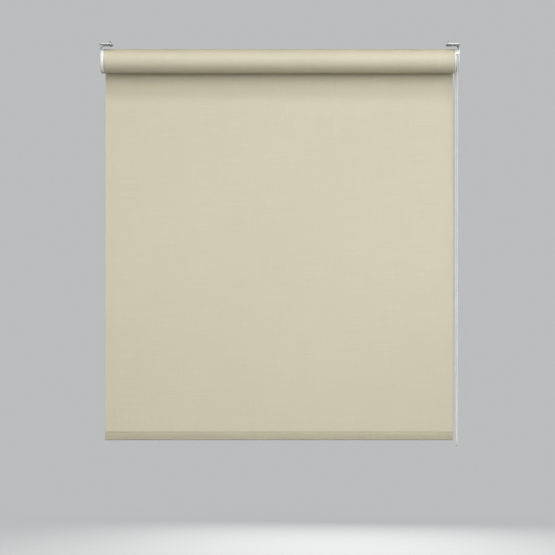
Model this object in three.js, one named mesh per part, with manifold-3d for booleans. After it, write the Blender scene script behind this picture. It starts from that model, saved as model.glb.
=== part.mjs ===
// Chain-operated roller blind for a window recess, in millimetres.
//
// X runs along the roller towards the chain end, Y points away from the room and Z is up.
// Everything is first placed around the roller's axis, with X = 0 near the middle of the
// window. The last group then moves the origin to the middle of the left bracket's top face,
// which is screwed to the head of the recess.
//
// The fabric leaves the back of the roll, so turning the roller by the right-hand rule
// about +X raises it.

import * as THREE from 'three';
import { mergeVertices } from 'three/addons/utils/BufferGeometryUtils.js';
import Module from 'manifold-3d';

const wasm = await Module();
wasm.setup();

// ---------------------------------------------------------------- driving dimensions

const GAP = 0.3;                    // clearance between pieces that touch in the real object
const ROUND = 40;                   // segments of a large turned piece
const SMALL_ROUND = 24;             // segments of a small turned piece
const COIL_STEPS = 12;              // steps in one turn of a spring

const AXIS_TO_CEILING = 49;         // roller axis to the face that the brackets are screwed to
const DROP = 1124;                  // roller axis to the bottom of the hem, as photographed

const FABRIC_LEFT = -518;
const FABRIC_RIGHT = 516;
const FABRIC_THICKNESS = 0.5;
const ROLL_RADIUS = 35.7;
const ROLL_BORE = 32.2;
const SHEET_CLEARANCE = 0.25;       // between the roll and the sheet that leaves it

const HEM_HEIGHT = 23.4;
const HEM_DEPTH = 5.4;
const POCKET_HEIGHT = 21.6;         // the opening that the bottom bar slides into
const POCKET_DEPTH = 4.4;
const BAR_HEIGHT = 19;
const BAR_DEPTH = 2.2;
const CAP_WALL = 0.7;
const CAP_LENGTH = 8.5;
const CAP_END = 1.6;
const BAR_INSET = 0.4;              // from the fabric's edge to the end of the bar

const TUBE_RADIUS = 31.5;
const TUBE_WALL = 1.5;
const TUBE_INSET = 1;               // from the fabric's edge to the end of the tube
const KEY_WIDTH = 4;                // the tube's two inner keys, at its top and bottom
const KEY_HEIGHT = 1.6;
const TAPE_THICKNESS = 0.3;
const TAPE_HALF_ANGLE = 0.32;

const PLATE = 1.8;                  // thickness of both steel brackets
const FLANGE_LENGTH = 37;           // bracket flange, along the roller
const FLANGE_FRONT = -34;
const FLANGE_BACK = 26;
const FLANGE_CORNER = 4;
const PLATE_HALF_WIDTH = 20;
const PLATE_NOSE = 15;              // radius of the plate's round lower end
const PLATE_SHOULDER = 30;          // height above the axis where the plate starts to narrow
const GUSSET = 8;
const GUSSET_WIDTH = 3;
const GUSSET_OFFSET = 11;
const LEFT_PLATE = -530;            // outboard face of the left bracket
const RIGHT_PLATE = 532.1;          // outboard face of the right bracket

const SCREW_INSET = 7;              // from the flange's free end to the screws
const SCREW_ROW = [-16, 10];        // the two screws of each bracket, along Y
const SCREW_RADIUS = 1.9;
const SCREW_HOLE = 2.3;
const SCREW_HEAD = 4;
const SCREW_HEAD_HEIGHT = 2.3;
const SCREW_REACH = 12.5;           // how far a screw stands above the flange

const END_RADIUS = 36;              // outer radius of the end cover and of the chain guard
const PIN_RADIUS = 4.3;
const PIN_BORE = 4.6;

const CHAIN_X = 524.25;             // plane of the bead chain
const BEAD_PITCH = 6;
const BEAD_RADIUS = 2.25;
const STRING_RADIUS = 0.8;
const POCKETS = 32;
const PITCH_RADIUS = POCKETS * BEAD_PITCH / (2 * Math.PI);

const CORE_RADIUS = 10.8;
const CORE_BORE = 4;
const RUNNING_BORE = 11.1;          // what turns on the core
const HUB_INNER = 14;
const HUB_OUTER = 17;

// Half of the hanging chain, from the sprocket down to the bottom of the loop:
// distance in front of the axis, and height. The back half mirrors it.
const CHAIN_RUN = [
  [30.5, -13], [29.5, -237], [27.8, -497], [24.3, -817],
  [21.0, -977], [17.7, -1057], [14.6, -1097], [12.1, -1115],
];
const CHAIN_BEND = [
  [12.1, -1115.3], [9.5, -1127.5], [8.78, -1131.1], [6.72, -1134.2], [3.64, -1136.3],
];
const CHAIN_BOTTOM = [0, -1137];

// ---------------------------------------------------------------- derived dimensions

const SHEET_Y = ROLL_RADIUS + SHEET_CLEARANCE + FABRIC_THICKNESS / 2;
const HEM_BOTTOM = -DROP;
const HEM_TOP = HEM_BOTTOM + HEM_HEIGHT;
const HEM_MIDDLE = (HEM_BOTTOM + HEM_TOP) / 2;
const TUBE_LEFT = FABRIC_LEFT + TUBE_INSET;
const TUBE_RIGHT = FABRIC_RIGHT - TUBE_INSET;
const TUBE_BORE = TUBE_RADIUS - TUBE_WALL;
const PLUG_RADIUS = TUBE_BORE - GAP;
const FLANGE_BOTTOM = AXIS_TO_CEILING - PLATE;
const LEFT_FREE_END = LEFT_PLATE + FLANGE_LENGTH;
const RIGHT_FREE_END = RIGHT_PLATE - FLANGE_LENGTH - PLATE;

// ---------------------------------------------------------------- materials

function finish(color, roughness, metalness) {
  return new THREE.MeshStandardMaterial({ color, roughness, metalness });
}

const FABRIC = finish(0xd3cbb0, 0.9, 0);
const WHITE_PLASTIC = finish(0xf2f1ec, 0.4, 0);
const CREAM_PLASTIC = finish(0xc6bea2, 0.5, 0);
const GREY_PLASTIC = finish(0x8f9294, 0.5, 0);
const ALUMINIUM = finish(0xc6c9cb, 0.35, 1);
const ZINC_STEEL = finish(0xb4b7b9, 0.4, 1);
const SPRING_STEEL = finish(0x77797c, 0.35, 1);
const ADHESIVE = finish(0xe9e4cf, 0.6, 0);

// ---------------------------------------------------------------- shapes

// Turns the plane of a shape into the Y-Z plane, and its depth into X.
const ACROSS_ROLLER = new THREE.Matrix4().makeBasis(
  new THREE.Vector3(0, 1, 0),
  new THREE.Vector3(0, 0, 1),
  new THREE.Vector3(1, 0, 0),
);

function box([x0, x1], [y0, y1], [z0, z1]) {
  const geometry = new THREE.BoxGeometry(x1 - x0, y1 - y0, z1 - z0);
  geometry.translate((x0 + x1) / 2, (y0 + y1) / 2, (z0 + z1) / 2);
  return geometry;
}

// A body turned about the Y axis, from a closed outline of [height, radius] pairs.
// An outline that starts and ends at radius 0 closes on the axis.
function turned(outline, segments) {
  const points = outline.map(([height, radius]) => new THREE.Vector2(radius, height));
  if (THREE.ShapeUtils.area(points) < 0) points.reverse();
  const onAxis = points[0].x === 0 && points.at(-1).x === 0;
  if (!onAxis) points.push(points[0].clone());
  return new THREE.LatheGeometry(points, segments);
}

function turnedAboutX(outline, segments = ROUND) {
  return turned(outline, segments).rotateZ(-Math.PI / 2);
}

function turnedAboutZ(outline, segments = SMALL_ROUND) {
  return turned(outline, segments).rotateX(Math.PI / 2);
}

function extrudedAlongX(shape, x0, x1, curveSegments = 8) {
  const settings = { depth: x1 - x0, bevelEnabled: false, curveSegments };
  const geometry = new THREE.ExtrudeGeometry(shape, settings);
  return geometry.applyMatrix4(ACROSS_ROLLER).translate(x0, 0, 0);
}

function roundedRectangle(path, y0, y1, z0, z1, corner) {
  path.moveTo(y0 + corner, z0);
  path.lineTo(y1 - corner, z0);
  path.absarc(y1 - corner, z0 + corner, corner, -Math.PI / 2, 0, false);
  path.lineTo(y1, z1 - corner);
  path.absarc(y1 - corner, z1 - corner, corner, 0, Math.PI / 2, false);
  path.lineTo(y0 + corner, z1);
  path.absarc(y0 + corner, z1 - corner, corner, Math.PI / 2, Math.PI, false);
  path.lineTo(y0, z0 + corner);
  path.absarc(y0 + corner, z0 + corner, corner, Math.PI, Math.PI * 1.5, false);
  return path;
}

function ringSector(inner, outer, from, to) {
  const shape = new THREE.Shape();
  shape.absarc(0, 0, outer, from, to, false);
  shape.absarc(0, 0, inner, to, from, true);
  shape.closePath();
  return shape;
}

function circle(radius, y = 0, z = 0) {
  return new THREE.Path().absarc(y, z, radius, 0, Math.PI * 2, false);
}

// A circle with two square steps towards the axis, at the top and the bottom.
function keyedCircle(path, radius, stepHeight, stepWidth) {
  const half = Math.asin(stepWidth / 2 / radius);
  const inner = radius - stepHeight;
  for (const side of [1, -1]) {
    const middle = side * Math.PI / 2;
    path.absarc(0, 0, radius, middle - Math.PI + half, middle - half, false);
    path.lineTo(side * stepWidth / 2, side * inner);
    path.lineTo(-side * stepWidth / 2, side * inner);
  }
  path.closePath();
  return path;
}

function regularPolygon(radius, sides) {
  const shape = new THREE.Shape();
  for (let i = 0; i < sides; i += 1) {
    const angle = i / sides * Math.PI * 2;
    const move = i === 0 ? 'moveTo' : 'lineTo';
    shape[move](radius * Math.cos(angle), radius * Math.sin(angle));
  }
  shape.closePath();
  return shape;
}

function rod(curve, radius, steps, sides = 8) {
  const settings = { steps, extrudePath: curve, bevelEnabled: false };
  return new THREE.ExtrudeGeometry(regularPolygon(radius, sides), settings);
}

class Helix extends THREE.Curve {
  constructor(radius, x0, x1, turns) {
    super();
    Object.assign(this, { radius, x0, x1, turns });
  }

  getPoint(t, target = new THREE.Vector3()) {
    const angle = t * this.turns * Math.PI * 2;
    const x = this.x0 + (this.x1 - this.x0) * t;
    return target.set(x, this.radius * Math.cos(angle), this.radius * Math.sin(angle));
  }
}

function coil(radius, wire, x0, x1, turns) {
  const curve = new Helix(radius, x0 + wire, x1 - wire, turns);
  return rod(curve, wire, turns * COIL_STEPS, 4);
}

// ---------------------------------------------------------------- cutting and joining

function solid(geometry) {
  const bare = geometry.clone();
  bare.deleteAttribute('normal');
  bare.deleteAttribute('uv');
  const merged = mergeVertices(bare, 1e-4);
  const corners = merged.index.array;
  const kept = [];
  for (let i = 0; i < corners.length; i += 3) {
    const [a, b, c] = corners.slice(i, i + 3);
    if (a !== b && b !== c && c !== a) kept.push(a, b, c);
  }
  return new wasm.Manifold(new wasm.Mesh({
    numProp: 3,
    vertProperties: merged.attributes.position.array,
    triVerts: Uint32Array.from(kept),
  }));
}

function surface(body) {
  const mesh = body.getMesh();
  const geometry = new THREE.BufferGeometry();
  geometry.setAttribute('position', new THREE.BufferAttribute(mesh.vertProperties, 3));
  geometry.setIndex(new THREE.BufferAttribute(mesh.triVerts, 1));
  geometry.computeVertexNormals();
  return geometry;
}

function joined(...geometries) {
  return geometries.map(solid).reduce((sum, next) => sum.add(next));
}

function cut(body, ...geometries) {
  return geometries.map(solid).reduce((rest, tool) => rest.subtract(tool), body);
}

// ---------------------------------------------------------------- the assembly

const blind = new THREE.Group();

function add(name, material, shape) {
  const geometry = shape.isBufferGeometry ? surface(solid(shape)) : surface(shape);
  const mesh = new THREE.Mesh(geometry, material);
  mesh.name = name;
  blind.add(mesh);
}

// ---- brackets: a flange under the head of the recess, and a plate bent down from it

function bracketPlate(opening, x0, x1) {
  const outline = new THREE.Shape();
  outline.moveTo(-PLATE_HALF_WIDTH, AXIS_TO_CEILING);
  outline.lineTo(-PLATE_HALF_WIDTH, PLATE_SHOULDER);
  outline.absarc(0, 0, PLATE_NOSE, Math.PI, Math.PI * 2, false);
  outline.lineTo(PLATE_HALF_WIDTH, PLATE_SHOULDER);
  outline.lineTo(PLATE_HALF_WIDTH, AXIS_TO_CEILING);
  outline.closePath();
  outline.holes.push(opening);
  return extrudedAlongX(outline, x0, x1);
}

function bracketFlange(x0, x1, screwX) {
  const outline = roundedRectangle(
    new THREE.Shape(), x0, x1, FLANGE_FRONT, FLANGE_BACK, FLANGE_CORNER,
  );
  for (const y of SCREW_ROW) outline.holes.push(circle(SCREW_HOLE, screwX, y));
  const settings = { depth: PLATE, bevelEnabled: false, curveSegments: 8 };
  return new THREE.ExtrudeGeometry(outline, settings).translate(0, 0, FLANGE_BOTTOM);
}

// A small triangle in the bend, reaching from the plate towards the middle of the window.
function bracketGusset(plateFace, inward, y) {
  const outline = new THREE.Shape();
  outline.moveTo(plateFace - inward * PLATE / 2, FLANGE_BOTTOM + PLATE / 2);
  outline.lineTo(plateFace + inward * GUSSET, FLANGE_BOTTOM + PLATE / 2);
  outline.lineTo(plateFace + inward * GUSSET, FLANGE_BOTTOM);
  outline.lineTo(plateFace, FLANGE_BOTTOM - GUSSET);
  outline.lineTo(plateFace - inward * PLATE / 2, FLANGE_BOTTOM - GUSSET);
  outline.closePath();
  const settings = { depth: GUSSET_WIDTH, bevelEnabled: false };
  const geometry = new THREE.ExtrudeGeometry(outline, settings);
  return geometry.rotateX(Math.PI / 2).translate(0, y + GUSSET_WIDTH / 2, 0);
}

function bracket(opening, plateOuter, inward, flangeX, screwX) {
  const plateFace = plateOuter + inward * PLATE;
  const [x0, x1] = [plateOuter, plateFace].sort((a, b) => a - b);
  return joined(
    bracketPlate(opening, x0, x1),
    bracketFlange(...flangeX, screwX),
    bracketGusset(plateFace, inward, -GUSSET_OFFSET),
    bracketGusset(plateFace, inward, GUSSET_OFFSET),
  );
}

function screw(x, y) {
  const headTop = FLANGE_BOTTOM - GAP;
  const headBottom = headTop - SCREW_HEAD_HEIGHT;
  const tip = AXIS_TO_CEILING + SCREW_REACH;
  const outline = [
    [headBottom, 0],
    [headBottom, SCREW_HEAD * 0.55],
    [headBottom + SCREW_HEAD_HEIGHT * 0.6, SCREW_HEAD],
    [headTop, SCREW_HEAD],
    [headTop, SCREW_RADIUS],
    [tip - SCREW_RADIUS * 2, SCREW_RADIUS],
    [tip, 0],
  ];
  return turnedAboutZ(outline, 16).translate(x, y, 0);
}

const BUSH_HOLE = 8;
const SPIGOT = { y: 5.7, z: 7.7 };
const spigotWindow = roundedRectangle(
  new THREE.Path(), -SPIGOT.y - GAP, SPIGOT.y + GAP, -SPIGOT.z - GAP, SPIGOT.z + GAP, 1,
);
const leftScrewX = LEFT_FREE_END - SCREW_INSET;
const rightScrewX = RIGHT_FREE_END + SCREW_INSET;

add('left_bracket', ZINC_STEEL, bracket(
  circle(BUSH_HOLE), LEFT_PLATE, 1, [LEFT_PLATE, LEFT_FREE_END], leftScrewX,
));
add('right_bracket', ZINC_STEEL, bracket(
  spigotWindow, RIGHT_PLATE, -1, [RIGHT_FREE_END, RIGHT_PLATE], rightScrewX,
));
['front', 'back'].forEach((place, i) => {
  add(`left_screw_${place}`, ZINC_STEEL, screw(leftScrewX, SCREW_ROW[i]));
  add(`right_screw_${place}`, ZINC_STEEL, screw(rightScrewX, SCREW_ROW[i]));
});

// ---- left end: cover, bush and the spring-loaded pin that the roller hangs on

const COVER_RIM = -519.5;           // inboard edge of the end cover
const COVER_WALL = 1.6;
const COVER_EDGE = 1.5;             // rounding of its outboard edge

// A flat drum that lies against the bracket and hides the end of the roll.
function endCover() {
  const face = LEFT_PLATE + PLATE + GAP;
  return turnedAboutX([
    [face, BUSH_HOLE],
    [face, END_RADIUS - COVER_EDGE],
    [face + COVER_EDGE * 0.3, END_RADIUS - COVER_EDGE * 0.3],
    [face + COVER_EDGE, END_RADIUS],
    [COVER_RIM, END_RADIUS],
    [COVER_RIM, END_RADIUS - COVER_WALL],
    [face + COVER_WALL, END_RADIUS - COVER_WALL],
    [face + COVER_WALL, BUSH_HOLE],
  ]);
}

const BUSH_OUTER_END = LEFT_PLATE + 0.1;
const BUSH_FLANGE = -525.9;         // outboard face of the flange that traps the cover
const BUSH_INNER_END = -524.4;
const BEARING_LEFT = -518.2;
const BEARING_WALL = -514;          // inner face of the bearing's end wall
const BEARING_RIGHT = -474.3;
const BEARING_RADIUS = 12.3;
const CHAMBER_RADIUS = 7.8;
const COLLAR_RADIUS = 7.4;
const COLLAR_LENGTH = 3;
const TAIL_RADIUS = 3.4;
const TAIL_END = -494;
const CAP_FACE = -476.5;            // outboard face of the cap that backs the spring

add('left_end_cover', WHITE_PLASTIC, endCover());
add('pin_bush', GREY_PLASTIC, turnedAboutX([
  [BUSH_OUTER_END, PIN_BORE],
  [BUSH_OUTER_END, BUSH_HOLE - GAP],
  [BUSH_FLANGE, BUSH_HOLE - GAP],
  [BUSH_FLANGE, 11.5],
  [BUSH_INNER_END, 11.5],
  [BUSH_INNER_END, PIN_BORE],
], SMALL_ROUND));
add('idle_pin', ZINC_STEEL, turnedAboutX([
  [LEFT_PLATE + 0.4, 0],
  [LEFT_PLATE + 0.4, PIN_RADIUS - 1],
  [LEFT_PLATE + 1.4, PIN_RADIUS],
  [BEARING_WALL + GAP, PIN_RADIUS],
  [BEARING_WALL + GAP, COLLAR_RADIUS],
  [BEARING_WALL + GAP + COLLAR_LENGTH, COLLAR_RADIUS],
  [BEARING_WALL + GAP + COLLAR_LENGTH, TAIL_RADIUS],
  [TAIL_END, TAIL_RADIUS],
  [TAIL_END, 0],
], SMALL_ROUND));
add('pin_spring', SPRING_STEEL, coil(
  5.7, 0.6, BEARING_WALL + GAP + COLLAR_LENGTH + GAP, CAP_FACE - GAP, 8,
));
add('pin_bearing', GREY_PLASTIC, turnedAboutX([
  [BEARING_LEFT, PIN_BORE],
  [BEARING_LEFT, BEARING_RADIUS],
  [BEARING_RIGHT, BEARING_RADIUS],
  [BEARING_RIGHT, CHAMBER_RADIUS],
  [BEARING_WALL, CHAMBER_RADIUS],
  [BEARING_WALL, PIN_BORE],
], SMALL_ROUND));
add('spring_cap', GREY_PLASTIC, turnedAboutX([
  [CAP_FACE, 3.8],
  [CAP_FACE, CHAMBER_RADIUS - 0.4],
  [BEARING_RIGHT + GAP, CHAMBER_RADIUS - 0.4],
  [BEARING_RIGHT + GAP, BEARING_RADIUS - 0.5],
  [BEARING_RIGHT + 2.8, BEARING_RADIUS - 0.5],
  [BEARING_RIGHT + 2.8, 3.8],
], SMALL_ROUND));

// ---- tube and what fills its two ends

const FILLER_WALL = 3.2;            // outer ring of the plug and of the crown
const FILLER_RIM = 31;              // the lip that stops them at the end of the tube
const RIM_THICKNESS = 1.1;

// Slots along the top and the bottom of a filler, for the tube's keys.
function keySlots(x0, x1) {
  const halfWidth = KEY_WIDTH / 2 + GAP;
  const bottom = TUBE_BORE - KEY_HEIGHT - GAP;
  return [1, -1].map((side) => box(
    [x0, x1],
    [-halfWidth, halfWidth],
    [side * bottom, side * TUBE_RADIUS].sort((a, b) => a - b),
  ));
}

const tubeOutline = new THREE.Shape();
tubeOutline.absarc(0, 0, TUBE_RADIUS, 0, Math.PI * 2, false);
tubeOutline.holes.push(keyedCircle(new THREE.Path(), TUBE_BORE, KEY_HEIGHT, KEY_WIDTH));
add('roller_tube', ALUMINIUM, extrudedAlongX(tubeOutline, TUBE_LEFT, TUBE_RIGHT, 10));

const plugHub = BEARING_RADIUS + GAP;
const plugEnd = -472;
add('idle_plug', GREY_PLASTIC, cut(
  solid(turnedAboutX([
    [TUBE_LEFT - GAP - RIM_THICKNESS, plugHub],
    [TUBE_LEFT - GAP - RIM_THICKNESS, FILLER_RIM],
    [TUBE_LEFT - GAP, FILLER_RIM],
    [TUBE_LEFT - GAP, PLUG_RADIUS],
    [plugEnd, PLUG_RADIUS],
    [plugEnd, PLUG_RADIUS - FILLER_WALL],
    [TUBE_LEFT + 2.1, PLUG_RADIUS - FILLER_WALL],
    [TUBE_LEFT + 2.1, plugHub + 2.4],
    [plugEnd - 2, plugHub + 2.4],
    [plugEnd - 2, plugHub],
  ])),
  ...keySlots(TUBE_LEFT - GAP, plugEnd + 1),
));

const CROWN_END = 470;
const RIB_HALF_WIDTH = 2;           // the drive hub's two ribs, which turn the crown
const RIB_RADIUS = 18.8;
const CROWN_HUB = 20.9;
const RIB_RANGE = [CROWN_END + 0.6, TUBE_RIGHT - 2];
const crownBore = HUB_OUTER + GAP;
const ribSlots = [1, -1].map((side) => box(
  [CROWN_END, RIB_RANGE[1] + GAP],
  [side * HUB_INNER, side * (RIB_RADIUS + GAP)].sort((a, b) => a - b),
  [-RIB_HALF_WIDTH - GAP, RIB_HALF_WIDTH + GAP],
));
add('tube_crown', GREY_PLASTIC, cut(
  solid(turnedAboutX([
    [TUBE_RIGHT + GAP + RIM_THICKNESS, crownBore],
    [TUBE_RIGHT + GAP + RIM_THICKNESS, FILLER_RIM],
    [TUBE_RIGHT + GAP, FILLER_RIM],
    [TUBE_RIGHT + GAP, PLUG_RADIUS],
    [CROWN_END, PLUG_RADIUS],
    [CROWN_END, PLUG_RADIUS - FILLER_WALL],
    [TUBE_RIGHT - 2.5, PLUG_RADIUS - FILLER_WALL],
    [TUBE_RIGHT - 2.5, CROWN_HUB],
    [CROWN_END + 2, CROWN_HUB],
    [CROWN_END + 2, crownBore],
  ])),
  ...keySlots(CROWN_END - 1, TUBE_RIGHT + GAP),
  ...ribSlots,
));

// ---- right end: fixed core, wrap springs, hub, sprocket and the guard around the chain

const GUARD_INNER_FACE = 520.9;
const GUARD_INNER_START = 516.9;
const GUARD_OUTER_FACE = 529.9;
const GUARD_CHANNEL_END = 527;      // where the guard's outer lip begins
const GUARD_DISC = 527.6;
const GUARD_WALL = 2.1;
const GUARD_LIP = END_RADIUS - GUARD_WALL;
const SKIRT_ANGLE = Math.PI / 6;    // the skirt ends this far above the axis, front and back
const GROOVE = { low: 465.6, high: 467.4, radius: 9.3 };
const CORE_END = 462;
const CORE_FLANGE = { low: 527.3, high: 530, radius: 13.7 };

add('clutch_core', GREY_PLASTIC, cut(
  joined(
    turnedAboutX([
      [CORE_END, CORE_BORE - 1],
      [CORE_END, CORE_RADIUS - 0.8],
      [CORE_END + 0.8, CORE_RADIUS],
      [GROOVE.low, CORE_RADIUS],
      [GROOVE.low, GROOVE.radius],
      [GROOVE.high, GROOVE.radius],
      [GROOVE.high, CORE_RADIUS],
      [CORE_FLANGE.low, CORE_RADIUS],
      [CORE_FLANGE.low, CORE_FLANGE.radius],
      [CORE_FLANGE.high, CORE_FLANGE.radius],
      [CORE_FLANGE.high, CORE_BORE - 1],
    ], SMALL_ROUND),
    box([CORE_FLANGE.low, RIGHT_PLATE - 0.1], [-SPIGOT.y, SPIGOT.y], [-SPIGOT.z, SPIGOT.z]),
  ),
  new THREE.CylinderGeometry(CORE_BORE, CORE_BORE, 200, 16)
    .rotateZ(Math.PI / 2)
    .translate(CORE_FLANGE.low, 0, 0),
));
add('retaining_clip', SPRING_STEEL, extrudedAlongX(
  ringSector(GROOVE.radius + GAP, 15, Math.PI / 6, Math.PI * 11 / 6),
  GROOVE.low + GAP, GROOVE.high - GAP,
));
add('wrap_spring_inner', SPRING_STEEL, coil(12.35, 0.8, 474, 490, 6));
add('wrap_spring_outer', SPRING_STEEL, coil(12.35, 0.8, 496, 512, 6));

const DOG = { halfWidth: 4, low: 14.2, high: 16.4, depth: 3 };
const SPROCKET_LEFT = CHAIN_X - 3;
const SPROCKET_RIGHT = CHAIN_X + 3;
const HUB_LEFT = 468.3;
const HUB_RIGHT = SPROCKET_LEFT - 0.45;

// The two teeth of the hub that engage the sprocket; grown, they are the sprocket's slots.
function dogs(grow) {
  return [1, -1].map((side) => box(
    [HUB_RIGHT - 1, SPROCKET_LEFT + DOG.depth + grow - GAP],
    [-DOG.halfWidth - grow, DOG.halfWidth + grow],
    [side * (DOG.low - grow), side * (DOG.high + grow)].sort((a, b) => a - b),
  ));
}

add('drive_hub', GREY_PLASTIC, joined(
  turnedAboutX([
    [HUB_LEFT, RUNNING_BORE],
    [HUB_LEFT, HUB_OUTER],
    [HUB_RIGHT, HUB_OUTER],
    [HUB_RIGHT, HUB_INNER],
    [HUB_LEFT + 2.2, HUB_INNER],
    [HUB_LEFT + 2.2, RUNNING_BORE],
  ], SMALL_ROUND),
  ...dogs(0),
  ...[1, -1].map((side) => box(
    RIB_RANGE,
    [side * (HUB_INNER + 2), side * RIB_RADIUS].sort((a, b) => a - b),
    [-RIB_HALF_WIDTH, RIB_HALF_WIDTH],
  )),
));

const RIM_RADIUS = PITCH_RADIUS + 0.25;
const STRING_GROOVE = 1.2;          // half the width of the groove for the chain's string

function sprocket() {
  const wheel = turnedAboutX([
    [SPROCKET_LEFT, RUNNING_BORE],
    [SPROCKET_LEFT, 18],
    [CHAIN_X - 1.3, 18],
    [CHAIN_X - 1.3, 26],
    [SPROCKET_LEFT, 26],
    [SPROCKET_LEFT, RIM_RADIUS],
    [CHAIN_X - STRING_GROOVE, RIM_RADIUS],
    [CHAIN_X - STRING_GROOVE, RIM_RADIUS - 1.8],
    [CHAIN_X + STRING_GROOVE, RIM_RADIUS - 1.8],
    [CHAIN_X + STRING_GROOVE, RIM_RADIUS],
    [SPROCKET_RIGHT, RIM_RADIUS],
    [SPROCKET_RIGHT, 26],
    [CHAIN_X + 1.3, 26],
    [CHAIN_X + 1.3, 18],
    [SPROCKET_RIGHT, 18],
    [SPROCKET_RIGHT, RUNNING_BORE],
  ], POCKETS);
  const pockets = [];
  for (let i = 0; i < POCKETS; i += 1) {
    const pocket = new THREE.SphereGeometry(BEAD_RADIUS + 0.25, 6, 4);
    pocket.translate(CHAIN_X, PITCH_RADIUS, 0);
    pocket.rotateX(i / POCKETS * Math.PI * 2);
    pockets.push(pocket);
  }
  return cut(solid(wheel), ...pockets, ...dogs(GAP));
}

add('chain_sprocket', GREY_PLASTIC, sprocket());
add('chain_guard_inner', WHITE_PLASTIC, turnedAboutX([
  [519, HUB_OUTER + 0.4],
  [GUARD_INNER_FACE, HUB_OUTER + 0.4],
  [GUARD_INNER_FACE, END_RADIUS],
  [GUARD_INNER_START + 0.7, END_RADIUS],
  [GUARD_INNER_START, END_RADIUS - 0.7],
  [GUARD_INNER_START, GUARD_LIP + GAP],
  [519, GUARD_LIP + GAP],
]));
add('chain_guard_outer', WHITE_PLASTIC, joined(
  turnedAboutX([
    [GUARD_DISC, CORE_FLANGE.radius + GAP],
    [GUARD_OUTER_FACE, CORE_FLANGE.radius + GAP],
    [GUARD_OUTER_FACE, END_RADIUS - 1.2],
    [GUARD_OUTER_FACE - 1.2, END_RADIUS],
    [GUARD_CHANNEL_END, END_RADIUS],
    [GUARD_CHANNEL_END, GUARD_LIP],
    [GUARD_DISC, GUARD_LIP],
  ]),
  extrudedAlongX(
    ringSector(GUARD_LIP, END_RADIUS, SKIRT_ANGLE, Math.PI - SKIRT_ANGLE),
    GUARD_INNER_FACE + GAP, GUARD_CHANNEL_END + 0.6, 10,
  ),
));

// ---- bead chain: a thin string over the sprocket, and plain rods for the hanging loop

function chainPoint([forward, height], side) {
  return new THREE.Vector3(CHAIN_X, -side * forward, height);
}

function chainCurve(points) {
  return new THREE.CatmullRomCurve3(points, false, 'centripetal');
}

class OverSprocket extends THREE.Curve {
  getPoint(t, target = new THREE.Vector3()) {
    const tail = -CHAIN_RUN[0][1] - GAP;
    const arc = Math.PI * PITCH_RADIUS;
    const distance = t * (arc + 2 * tail);
    if (distance < tail) return target.set(CHAIN_X, -PITCH_RADIUS, distance - tail);
    if (distance > tail + arc) {
      return target.set(CHAIN_X, PITCH_RADIUS, tail + arc - distance);
    }
    const angle = Math.PI - (distance - tail) / PITCH_RADIUS;
    const [y, z] = [Math.cos(angle), Math.sin(angle)];
    return target.set(CHAIN_X, PITCH_RADIUS * y, PITCH_RADIUS * z);
  }
}

const bend = [
  ...CHAIN_BEND.map((pair) => chainPoint(pair, 1)),
  chainPoint(CHAIN_BOTTOM, 1),
  ...CHAIN_BEND.toReversed().map((pair) => chainPoint(pair, -1)),
];
const frontRun = CHAIN_RUN.map((pair) => chainPoint(pair, 1));
const backRun = CHAIN_RUN.map((pair) => chainPoint(pair, -1));

add('chain_over_sprocket', WHITE_PLASTIC, rod(new OverSprocket(), STRING_RADIUS, 32, 6));
add('chain_front_run', WHITE_PLASTIC, rod(chainCurve(frontRun), BEAD_RADIUS, 16));
add('chain_back_run', WHITE_PLASTIC, rod(chainCurve(backRun), BEAD_RADIUS, 16));
add('chain_bottom_bend', WHITE_PLASTIC, rod(chainCurve(bend), BEAD_RADIUS, 20));

// ---- fabric: the roll, the strip that holds it to the tube, and the hanging sheet

add('fabric_roll', FABRIC, turnedAboutX([
  [FABRIC_LEFT, ROLL_BORE],
  [FABRIC_LEFT, ROLL_RADIUS],
  [FABRIC_RIGHT, ROLL_RADIUS],
  [FABRIC_RIGHT, ROLL_BORE],
]));
add('fabric_tape', ADHESIVE, extrudedAlongX(
  ringSector(
    TUBE_RADIUS + 0.1, TUBE_RADIUS + 0.1 + TAPE_THICKNESS, -TAPE_HALF_ANGLE, TAPE_HALF_ANGLE,
  ),
  TUBE_LEFT + 2, TUBE_RIGHT - 2,
));
add('fabric_sheet', FABRIC, box(
  [FABRIC_LEFT, FABRIC_RIGHT],
  [SHEET_Y - FABRIC_THICKNESS / 2, SHEET_Y + FABRIC_THICKNESS / 2],
  [HEM_TOP + GAP, 0],
));

// ---- hem: the pocket, the bar inside it and the bar's end caps

function hemSection(path, height, depth, corner) {
  return roundedRectangle(
    path,
    SHEET_Y - depth / 2, SHEET_Y + depth / 2,
    HEM_MIDDLE - height / 2, HEM_MIDDLE + height / 2,
    corner,
  );
}

const pocketOutline = hemSection(new THREE.Shape(), HEM_HEIGHT, HEM_DEPTH, 2.4);
pocketOutline.holes.push(hemSection(new THREE.Path(), POCKET_HEIGHT, POCKET_DEPTH, 1.9));
add('hem_pocket', FABRIC, extrudedAlongX(pocketOutline, FABRIC_LEFT, FABRIC_RIGHT, 3));

const barLeft = FABRIC_LEFT + BAR_INSET;
const barRight = FABRIC_RIGHT - BAR_INSET;
const barOutline = hemSection(new THREE.Shape(), BAR_HEIGHT, BAR_DEPTH, 0.9);
add('bottom_bar', ALUMINIUM, extrudedAlongX(barOutline, barLeft, barRight, 3));

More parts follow.
